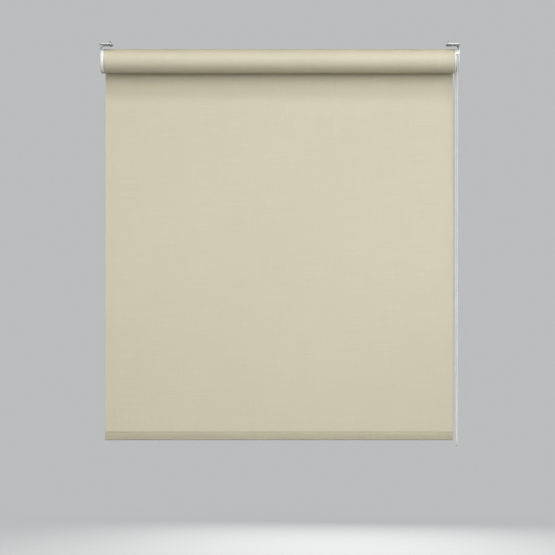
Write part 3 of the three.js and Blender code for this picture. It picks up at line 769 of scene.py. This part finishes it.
ARC_STEPS = 96
arc_line = []
for i in range(ARC_STEPS + 1):
    angle = math.pi - math.pi * i / ARC_STEPS
    arc_line.append(Vector((
        CHAIN_X,
        AXIS.y + PITCH_RADIUS * math.cos(angle),
        AXIS.z + PITCH_RADIUS * math.sin(angle),
    )))
carried, _ = beaded("beads_on_sprocket", arc_line, POCKETS // 2, 1, POCKETS // 2 - 1)
place_piece(carried, "frame", "white_plastic", "chain_over_sprocket")

# ------------------------------------------------------------------ cloth

CLOTH_THICKNESS = 0.66 * MM
CLOTH_COLUMNS = 24
INNER_THICKNESS = 0.3 * MM
INNER_INSET = 0.3 * MM


def ribbon(name, line, thickness, x0, x1, columns, material, taper=None, start=0.0):
    """A closed sheet: a (y, z) centre line swept along X, with UVs in metres."""
    count = len(line)
    distance = distances(line, start)
    front, back = [], []
    for i, here in enumerate(line):
        before, after = Vector(line[max(0, i - 1)]), Vector(line[min(count - 1, i + 1)])
        tangent = (after - before).normalized()
        side = Vector((-tangent.y, tangent.x))
        half = thickness / 2 * (taper[i] if taper else 1)
        front.append(Vector(here) + side * half)
        back.append(Vector(here) - side * half)
    section = front + back[::-1]
    marks = distance + distance[::-1] + [start]
    points, faces, uvs = [], [], []
    swept(points, faces, uvs, section, marks, x0, x1, columns)
    size = len(section)
    for column in (0, columns):
        a = column * size
        for k in range(count - 1):
            faces.append((a + k, a + k + 1, a + size - 2 - k, a + size - 1 - k))
            v0, v1 = distance[k], distance[k + 1]
            uvs.extend([(0, v0), (0, v1), (thickness, v1), (thickness, v0)])
    return outward(mesh_piece(name, points, faces, [material], uvs))


# The cloth leaves the roll's back here, whatever the roll does; its first edge thins out.
LEAD_ANGLE = math.radians(40)
LEAD_STEPS = 14
LEAD_CLEARANCE = 0.01 * MM
LEAD_EDGE = 0.07                      # how much of the cloth's thickness is left at that edge

lead_line, lead_taper = [], []
for i in range(LEAD_STEPS, -1, -1):
    share = i / LEAD_STEPS
    taper = 1 - (1 - LEAD_EDGE) * share
    nearest = ROLL_RADIUS + LEAD_CLEARANCE + CLOTH_THICKNESS / 2 * taper
    radius = SHEET_Y + (nearest - SHEET_Y) * share ** 2
    angle = LEAD_ANGLE * share
    lead_line.append((AXIS.y + radius * math.cos(angle), AXIS.z + radius * math.sin(angle)))
    lead_taper.append(taper)
lead = ribbon(
    "cloth_off_roll", lead_line, CLOTH_THICKNESS, sheet_low.x, sheet_high.x, CLOTH_COLUMNS, CLOTH,
    lead_taper,
)
place_piece(lead, "frame", "fabric")
lead_length = SHEET_Y * LEAD_ANGLE

cloth_drop = AXIS.z - HEM_TOP
CLOTH_ROWS = 48
cloth_line = [(SHEET_Y, AXIS.z - cloth_drop * i / CLOTH_ROWS) for i in range(CLOTH_ROWS + 1)]
cloth = ribbon(
    "hanging_cloth", cloth_line, CLOTH_THICKNESS, sheet_low.x, sheet_high.x, CLOTH_COLUMNS, CLOTH,
    start=lead_length,
)
place_piece(cloth, "frame", "fabric", "fabric_sheet")
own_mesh(cloth)

# The spare cloth that comes off the roll when the hem is lowered; it lies inside the first.
SPARE_LENGTH = 0.765
SPARE_ROWS = 24
spare_line = [(SHEET_Y, HEM_TOP + SPARE_LENGTH * i / SPARE_ROWS) for i in range(SPARE_ROWS + 1)]
spare = ribbon(
    "lowered_cloth", spare_line, INNER_THICKNESS, sheet_low.x + INNER_INSET,
    sheet_high.x - INNER_INSET, CLOTH_COLUMNS, CLOTH,
)
place_piece(spare, "hem", "fabric")
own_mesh(spare)


def wound_roll():
    """The roll as a spiral of cloth, whose turns end a little apart at both ends."""
    turns = 7
    wrap = 0.5 * MM
    thick, apart = 0.94, 0.98  # how thick the cloth is, and how far from turn to turn, in wraps
    per_turn = 96
    count = turns * per_turn
    start = math.radians(6)  # under the cloth that leads off the roll
    near_end = 1 * MM
    line = []
    for i in range(count + 1):
        angle = start + 2 * math.pi * i / per_turn
        radius = ROLL_RADIUS - wrap / 2 - wrap * i / per_turn * apart
        line.append((AXIS.y + radius * math.cos(angle), AXIS.z + radius * math.sin(angle)))
    taper = [thick * min(1.0, 0.25 + i / 8) for i in range(count + 1)]
    piece = ribbon("wound_cloth", line, wrap, roll_low.x, roll_high.x, 6, CLOTH, taper)
    offsets = [random.uniform(-0.25, 0.25) * MM for _ in range(turns + 2)]
    for vertex in piece.data.vertices:
        radius = math.hypot(vertex.co.y - AXIS.y, vertex.co.z - AXIS.z)
        layer = (ROLL_RADIUS - radius) / wrap
        low = int(max(0, min(turns, layer)))
        shift = offsets[low] * min(1.0, max(0.0, layer))
        if vertex.co.x < roll_low.x + near_end:
            vertex.co.x += abs(shift)
        elif vertex.co.x > roll_high.x - near_end:
            vertex.co.x -= abs(shift)
    return piece


roll = wound_roll()
place_piece(roll, "roller", "fabric", "fabric_roll")

# ------------------------------------------------------------------ hem

WELD_HEIGHT = 7 * MM
WELD_THICKNESS = 1.15 * MM
POCKET_WALL = 0.7 * MM
POCKET_ENDS = 0.9 * MM                # cloth above and below the bar
POCKET_CORNER = 1.9 * MM
HEM_COLUMNS = 60
FOLD_SHADE_ABOVE = 2.4 * MM                 # the band of painted shade where the cloth folds over the bar
FOLD_SHADE_BELOW = 2 * MM

# The pocket's outline: shares of its half depth, and mm above its top and its bottom.
SHOULDER = [(0.29, 1.8), (0.42, 0.5), (0.59, -0.8), (0.75, -1.9), (0.86, -3.2), (0.95, -5.5)]
FOOT = [(0.99, 5.5), (0.93, 2.8), (0.76, 1.2), (0.45, 0.32), (0.15, 0.02)]


def pocket_outline():
    """The pocket's outside: pinched at the seam, full around the bar."""
    half = (hem_high.y - hem_low.y) / 2
    seam = WELD_THICKNESS / 2
    side = [(seam, HEM_TOP + WELD_HEIGHT), (seam, HEM_TOP + 2.9 * MM)]
    side += [(half * share, HEM_TOP + above * MM) for share, above in SHOULDER]
    side.append((half, HEM_TOP - (HEM_TOP - HEM_BOTTOM) * 0.45))
    side += [(half * share, HEM_BOTTOM + above * MM) for share, above in FOOT]
    fine = []
    for a, b in zip(side, side[1:]):
        for step in range(3):
            t = step / 3
            fine.append((a[0] + (b[0] - a[0]) * t, a[1] + (b[1] - a[1]) * t))
    fine.append(side[-1])
    back = [(SHEET_Y + w, z) for w, z in fine]
    front = [(SHEET_Y - w, z) for w, z in reversed(fine)]
    return back + front


def hem_piece():
    """The pocket's cloth: its outside and inside swept along the bar, and closed at both ends."""
    half = (hem_high.y - hem_low.y) / 2 - POCKET_WALL
    top, bottom = HEM_TOP - POCKET_ENDS, HEM_BOTTOM + POCKET_ENDS
    inside = rounded([
        (SHEET_Y - half, bottom), (SHEET_Y + half, bottom),
        (SHEET_Y + half, top), (SHEET_Y - half, top),
    ], POCKET_CORNER, 5)
    points, faces, uvs, rings = [], [], [], []
    for outline in (pocket_outline(), inside):
        rings.append((len(points), len(outline)))
        marks = distances(outline)
        marks.append(marks[-1] + THREAD_PITCH)
        swept(points, faces, uvs, outline, marks, hem_low.x, hem_high.x, HEM_COLUMNS)
    # Faces above the fold get the plain cloth, those around it the copy with painted fold shade,
    # and those below the doubled cloth with its painted shade.
    looks = []
    for face in faces:
        height = sum(points[k][2] for k in face) / len(face) - HEM_TOP
        if height > FOLD_SHADE_ABOVE:
            looks.append(1)
        elif height > -FOLD_SHADE_BELOW:
            looks.append(2)
        else:
            looks.append(0)
    weaves = [HEM_DOUBLED_PAINTED_SHADE, CLOTH, PAINTED_FOLD_SHADE_CLOTH]
    shape = mesh_piece("hem_cloth", points, faces, weaves, uvs, face_looks=looks)
    mesh = bmesh.new()
    mesh.from_mesh(shape.data)
    mesh.verts.ensure_lookup_table()
    for column in (0, HEM_COLUMNS):
        edges = []
        for base, size in rings:
            start = base + column * size
            for k in range(size):
                pair = (mesh.verts[start + k], mesh.verts[start + (k + 1) % size])
                edges.append(mesh.edges.get(pair))
        bmesh.ops.triangle_fill(mesh, use_beauty=True, use_dissolve=False, edges=edges)
    bmesh.ops.recalc_face_normals(mesh, faces=mesh.faces)
    mesh.to_mesh(shape.data)
    mesh.free()
    smooth(shape.data, 50)
    return shape


hem = hem_piece()
place_piece(hem, "hem", "fabric", "hem_pocket")


def stitches():
    """Two-sided lockstitch along the pocket's seam: each stitch is a short, sunken loop."""
    pitch, length = 3.4 * MM, 2.7 * MM
    radius = 0.17 * MM
    swelling, sunk = 0.12 * MM, 0.05 * MM
    from_edge = 3 * MM
    height = HEM_TOP + WELD_HEIGHT * 0.45
    count = int((SHEET_WIDTH - 2 * from_edge) / pitch)
    points, faces = [], []
    sides, rows = 6, 6
    for face in (-1, 1):
        surface = SHEET_Y + face * WELD_THICKNESS / 2
        for i in range(count):
            start = sheet_low.x + from_edge + i * pitch
            base = len(points)
            wobble = random.uniform(-0.06, 0.06) * MM
            for row in range(rows + 1):
                t = row / rows
                swell = math.sin(math.pi * t) ** 0.5
                thick = radius * (0.45 + 0.55 * swell)
                y = surface + face * (swell * swelling - sunk)
                for cosine, sine in spokes(sides):
                    points.append((
                        start + length * t, y + thick * cosine, height + wobble + thick * sine,
                    ))
            skin(faces, base, rows + 1, sides)
    return mesh_piece("hem_stitches", points, faces, [THREAD], sharp=80)


place_piece(stitches(), "hem", "fabric")

for side in ("left", "right"):
    node = f"bar_cap_{side}"
    place_piece(softened(f"hem_cap_{side}", node, CREAM, 0.25 * MM), "hem", "cream_plastic", node)

# ------------------------------------------------------------------ end cover and chain guard

COVER_RADIUS = (cover_high.z - cover_low.z) / 2
COVER_WALL = 1.6 * MM
COVER_LIP = 0.8 * MM                  # how much nearer the rim comes to the roll than in the CAD
COVER_BORE = 8 * MM
FACE_SLOPE = 0.6 * MM


def outer_side(x, inward, radius, bore, boss, sunk, rim, chamfer):
    """A round moulding's outer side: a face sunk between a boss and a rim, and a chamfer."""
    return [
        (x, bore), (x, boss),
        (x + inward * sunk, boss + FACE_SLOPE),
        (x + inward * sunk, radius - rim - FACE_SLOPE),
        (x, radius - rim), (x, radius - chamfer), (x + inward * chamfer, radius),
    ]


cover = lathed("end_cover", [
    *outer_side(cover_low.x, 1, COVER_RADIUS, bore=COVER_BORE, boss=13 * MM, sunk=0.35 * MM,
                rim=2.8 * MM, chamfer=1.3 * MM),
    (cover_high.x + COVER_LIP, COVER_RADIUS),
    (cover_high.x + COVER_LIP, COVER_RADIUS - COVER_WALL),
    (cover_low.x + COVER_WALL, COVER_RADIUS - COVER_WALL),
    (cover_low.x + COVER_WALL, COVER_BORE),
], WHITE, soft=0.5 * MM)
place_piece(cover, "frame", "white_plastic", "left_end_cover")

GUARD_RADIUS = outer_high.z - AXIS.z
GUARD_LIP = GUARD_RADIUS - 2.1 * MM   # inner radius of the outer half's wall
INNER_WALL = GUARD_RADIUS - 1.8 * MM  # and of the inner half's
INNER_PLATE = 1.9 * MM
INNER_BORE = 17.4 * MM
INNER_CHAMFER = 0.7 * MM
inner_face = inner_high.x
inner_guard = lathed("guard_inner", [
    (inner_face - INNER_PLATE, INNER_BORE),
    (inner_face, INNER_BORE),
    (inner_face, GUARD_RADIUS),
    (inner_low.x + INNER_CHAMFER, GUARD_RADIUS),
    (inner_low.x, GUARD_RADIUS - INNER_CHAMFER),
    (inner_low.x, INNER_WALL),
    (inner_face - INNER_PLATE, INNER_WALL),
], WHITE, soft=0.45 * MM)
place_piece(inner_guard, "frame", "white_plastic", "chain_guard_inner")

OUTER_BORE = 14 * MM
channel_end = outer_high.x - 2.9 * MM
disc = outer_high.x - 2.3 * MM
outer_disc = lathed("guard_outer_disc", [
    (disc, OUTER_BORE),
    *outer_side(outer_high.x, -1, GUARD_RADIUS, bore=OUTER_BORE, boss=19 * MM, sunk=0.4 * MM,
                rim=3 * MM, chamfer=1.2 * MM),
    (channel_end, GUARD_RADIUS),
    (channel_end, GUARD_LIP),
    (disc, GUARD_LIP),
], WHITE, soft=0.45 * MM)

# The wall over the beads; below it the channel is open, so that both runs can leave it.
skirt_start = inner_face + 0.3 * MM
skirt_end = channel_end + 0.6 * MM
skirt = lathed("guard_skirt", [
    (skirt_start, GUARD_LIP),
    (skirt_start, GUARD_RADIUS),
    (skirt_end, GUARD_RADIUS),
    (skirt_end, GUARD_LIP),
], WHITE, start=math.pi / 6, sweep=math.pi * 2 / 3, segments=48)
outer_guard = joined("guard_outer", [outer_disc, skirt])
place_piece(outer_guard, "frame", "white_plastic", "chain_guard_outer")

BUSH_BORE = 4.6 * MM
BUSH_RADIUS = 7.7 * MM
BUSH_FLANGE = 11.5 * MM
bush_flange = bush_high.x - 1.5 * MM
bush = lathed("pin_bush_turned", [
    (bush_low.x, BUSH_BORE),
    (bush_low.x, BUSH_RADIUS),
    (bush_flange, BUSH_RADIUS),
    (bush_flange, BUSH_FLANGE),
    (bush_high.x, BUSH_FLANGE),
    (bush_high.x, BUSH_BORE),
], GREY, segments=64)
place_piece(bush, "frame", "grey_plastic", "pin_bush")

PIN_RADIUS = 4.3 * MM
PIN_CHAMFER = 1 * MM
PIN_TAIL = 3.4 * MM                   # the part that the spring sits on
PIN_CENTRE = 0.15 * MM                # its outline stops this short of the axis
COLLAR_RADIUS = 7.4 * MM
COLLAR_WIDTH = 3 * MM
pin_low, pin_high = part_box("idle_pin")
collar = sheet_low.x + 4.3 * MM
pin = lathed("idle_pin_turned", [
    (pin_low.x, PIN_CENTRE),
    (pin_low.x, PIN_RADIUS - PIN_CHAMFER),
    (pin_low.x + PIN_CHAMFER, PIN_RADIUS),
    (collar, PIN_RADIUS),
    (collar, COLLAR_RADIUS),
    (collar + COLLAR_WIDTH, COLLAR_RADIUS),
    (collar + COLLAR_WIDTH, PIN_TAIL),
    (pin_high.x, PIN_TAIL),
    (pin_high.x, PIN_CENTRE),
], ZINC, segments=64, soft=0.25 * MM)
place_piece(pin, "pin", "zinc_steel", "idle_pin")

SPRING_WIRE = 0.6 * MM                # the wire's radius
SPRING_TURNS = 8
SPRING_STEPS = 24


def compression_spring():
    """The coil behind the pin: it lies flat for half a turn at both ends, as closed ends do."""
    low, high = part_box("pin_spring")
    radius = (high.z - low.z) / 2 - SPRING_WIRE
    first, last = low.x + SPRING_WIRE, high.x - SPRING_WIRE
    line = []
    for i in range(SPRING_TURNS * SPRING_STEPS + 1):
        turn = i / SPRING_STEPS
        share = min(1.0, max(0.0, (turn - 0.5) / (SPRING_TURNS - 1)))
        angle = 2 * math.pi * turn
        line.append(Vector((
            first + (last - first) * share,
            AXIS.y + radius * math.cos(angle),
            AXIS.z + radius * math.sin(angle),
        )))
    points, faces, looks = [], [], []
    strand(points, faces, looks, line, SPRING_WIRE, 10, 0)
    coil = outward(mesh_piece("pin_spring_coil", points, faces, [SPRING], sharp=60))
    place_piece(coil, "roller", "spring_steel", "pin_spring")
    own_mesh(coil)


compression_spring()

# ------------------------------------------------------------------ brackets and screws

for side in ("left", "right"):
    node = f"{side}_bracket"
    place_piece(softened(f"{side}_bracket_pressed", node, ZINC, 0.35 * MM),
                "frame", "zinc_steel", node)

SCREW_SIDES = 32
SCREW_HEAD = 2.3 * MM                 # the head's height
SCREW_SHANK = 1.9 * MM                # the shank's radius
SCREW_LEAD = 1.5 * MM                 # how far the thread climbs in a turn
SCREW_CREST = 0.5 * MM                # how far it stands out
SCREW_POINT = 4 * MM                  # length of the taper towards the tip
RECESS_WIDTH = 2.35 * MM              # half the cross's width
RECESS_SLOT = 0.42 * MM               # and half the width of one of its slots


def shank_radius(z, seat, tip, turned):
    """The shank's radius at a height and a share of a turn: a core with a rolled thread."""
    taper = min(1.0, 0.12 + (tip - z) / SCREW_POINT * 0.88)
    grown = min(1.0, (z - seat) / SCREW_LEAD)
    phase = ((z - seat) / SCREW_LEAD - turned) % 1.0
    crest = max(0.0, 1 - abs(phase - 0.5) / 0.22)
    return taper * (SCREW_SHANK * (0.72 + 0.26 * (1 - grown)) + SCREW_CREST * crest * grown)


def cut_cross(screw, x, y, crown):
    """Cuts two crossing slots into a screw's head; they get shorter as they go in."""
    slot_faces = [(0, 1, 2, 3), (4, 5, 6, 7), (0, 1, 5, 4), (1, 2, 6, 5), (2, 3, 7, 6),
                  (3, 0, 4, 7)]
    for turned in (False, True):
        corners = []
        for depth, width in ((-0.3 * MM, RECESS_WIDTH), (1.5 * MM, RECESS_WIDTH * 0.45)):
            half_x, half_y = (width, RECESS_SLOT) if turned else (RECESS_SLOT, width)
            for sign_x, sign_y in ((-1, -1), (1, -1), (1, 1), (-1, 1)):
                corners.append((x + sign_x * half_x, y + sign_y * half_y, crown + depth))
        cutter = outward(mesh_piece("cutter", corners, slot_faces, [SCREW_STEEL]))
        cut = screw.modifiers.new("recess", "BOOLEAN")
        cut.object = cutter
        cut.operation = "DIFFERENCE"
        cut.solver = "EXACT"
        applied(screw)
        bpy.data.objects.remove(cutter)


def wood_screw(name, node):
    """Pan head with a cross recess, and a shank with a rolled thread."""
    low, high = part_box(node)
    x, y = (low.x + high.x) / 2, (low.y + high.y) / 2
    head = (high.x - low.x) / 2
    seat = low.z + SCREW_HEAD
    profile = [
        (low.z + 0.02 * MM, head * 0.2), (low.z + 0.08 * MM, head * 0.5),
        (low.z + 0.4 * MM, head * 0.76), (low.z + 0.95 * MM, head * 0.94),
        (low.z + 1.5 * MM, head), (seat - 0.15 * MM, head),
        (seat, head * 0.97), (seat, SCREW_SHANK * 0.98),
    ]
    rows = [(z, [radius] * SCREW_SIDES) for z, radius in profile]
    z = seat + 0.3 * MM
    while z < high.z:
        turns = [side / SCREW_SIDES for side in range(SCREW_SIDES)]
        rows.append((z, [shank_radius(z, seat, high.z, turned) for turned in turns]))
        z += SCREW_LEAD / 8
    points, faces = [], []
    for z, radii in rows:
        for radius, (cosine, sine) in zip(radii, spokes(SCREW_SIDES)):
            points.append((x + radius * cosine, y + radius * sine, z))
    skin(faces, 0, len(rows), SCREW_SIDES)
    screw = outward(mesh_piece(name, points, faces, [SCREW_STEEL], sharp=50))
    cut_cross(screw, x, y, low.z)
    smooth(screw.data, 50)
    return screw


for side in ("left", "right"):
    for place in ("front", "back"):
        node = f"{side}_screw_{place}"
        place_piece(wood_screw(f"{node}_threaded", node), "frame", "zinc_steel", node)
